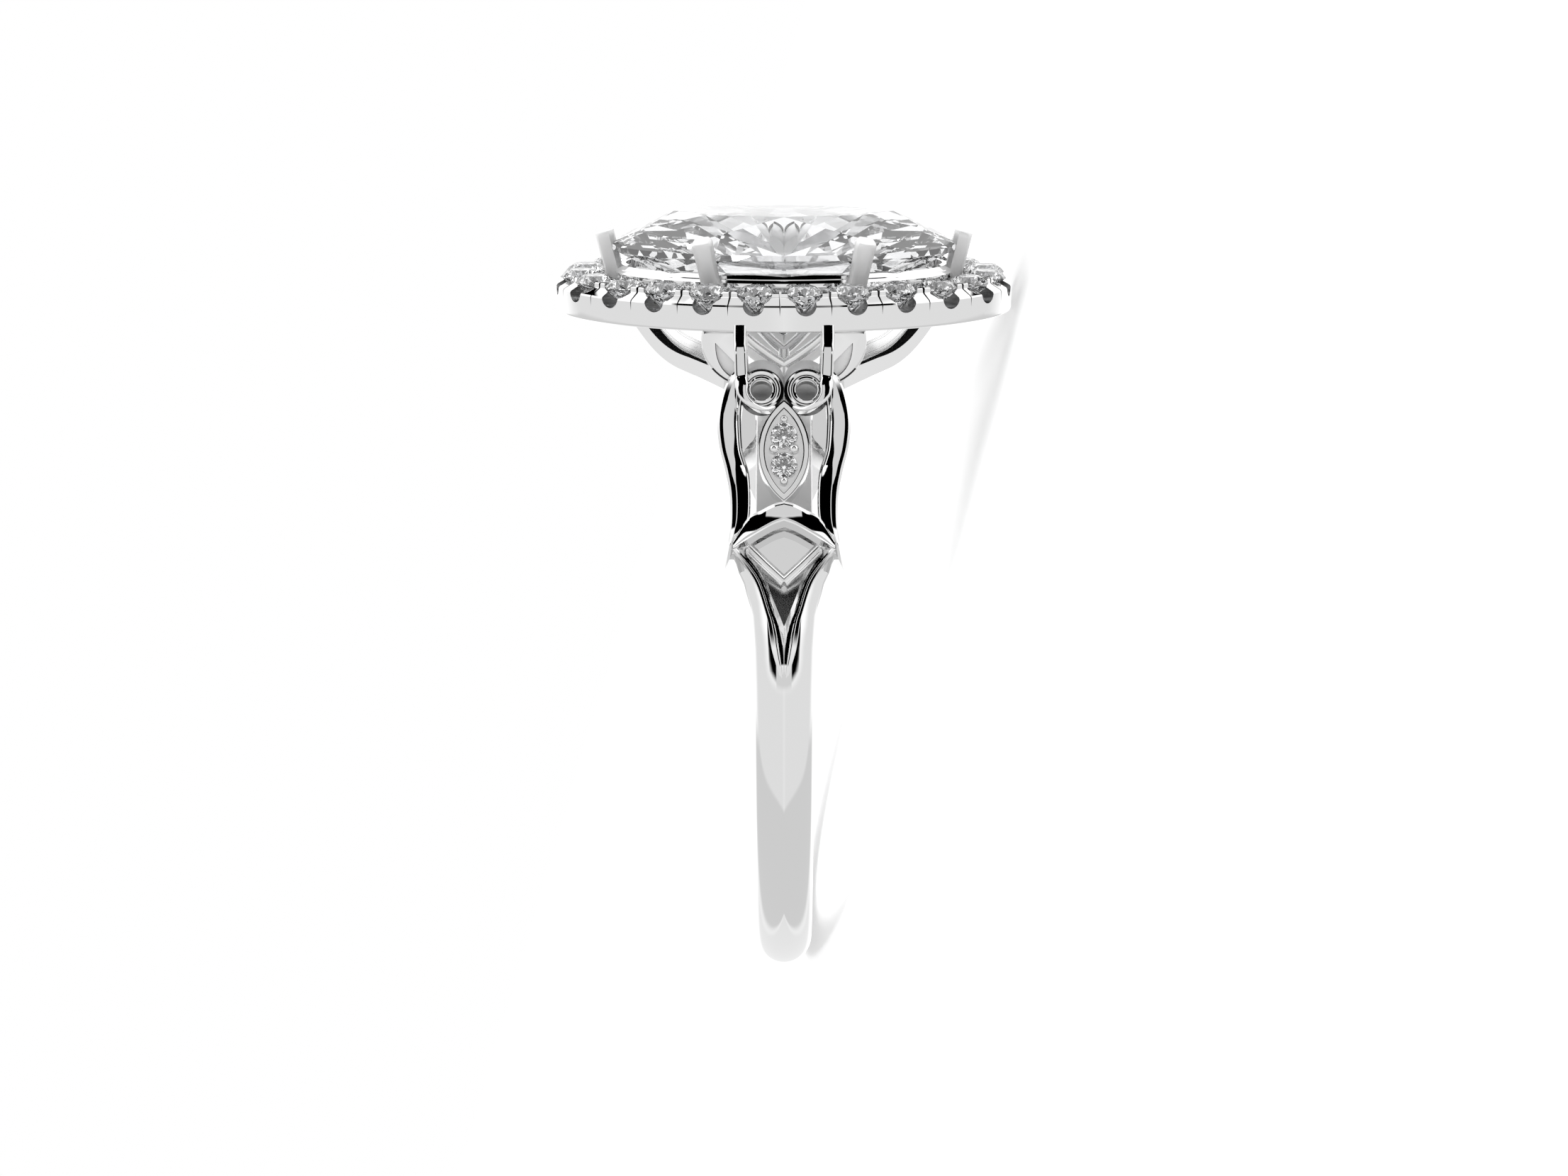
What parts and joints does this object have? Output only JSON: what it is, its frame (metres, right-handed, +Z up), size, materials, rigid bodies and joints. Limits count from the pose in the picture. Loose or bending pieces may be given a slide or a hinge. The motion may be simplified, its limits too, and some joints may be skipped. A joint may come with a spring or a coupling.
{
  "type": "halo engagement ring",
  "caption": "Finger ring lying on its side: domed band, forked and pierced scroll shoulders, and an oval cluster head with a raised oval stone in a ring of small stones.",
  "frame": {"origin": "centre of the bounding box on plan, at the surface the ring lies on", "axes": "+Z up from the surface; +X from the band's lower end to the head; the finger hole's axis lies in XZ, 16.8 degrees from vertical"},
  "size_m": [0.0259, 0.0202, 0.0147],
  "materials": {
    "white_gold": "bright polished white gold",
    "diamond": "polished colourless facets"
  },
  "bodies": {
    "root": {"mount": "white_gold", "centre_stone": "diamond", "halo_stone_1": "diamond", "halo_stone_2": "diamond", "halo_stone_3": "diamond", "halo_stone_4": "diamond", "halo_stone_5": "diamond", "halo_stone_6": "diamond", "halo_stone_7": "diamond", "halo_stone_8": "diamond", "halo_stone_9": "diamond", "halo_stone_10": "diamond", "halo_stone_11": "diamond", "halo_stone_12": "diamond", "halo_stone_13": "diamond", "halo_stone_14": "diamond", "halo_stone_15": "diamond", "halo_stone_16": "diamond", "halo_stone_17": "diamond", "halo_stone_18": "diamond", "halo_stone_19": "diamond", "halo_stone_20": "diamond", "halo_stone_21": "diamond", "halo_stone_22": "diamond", "halo_stone_23": "diamond", "halo_stone_24": "diamond", "accent_stone_1": "diamond", "accent_stone_2": "diamond", "accent_stone_3": "diamond", "accent_stone_4": "diamond"}
  },
  "joints": []
}
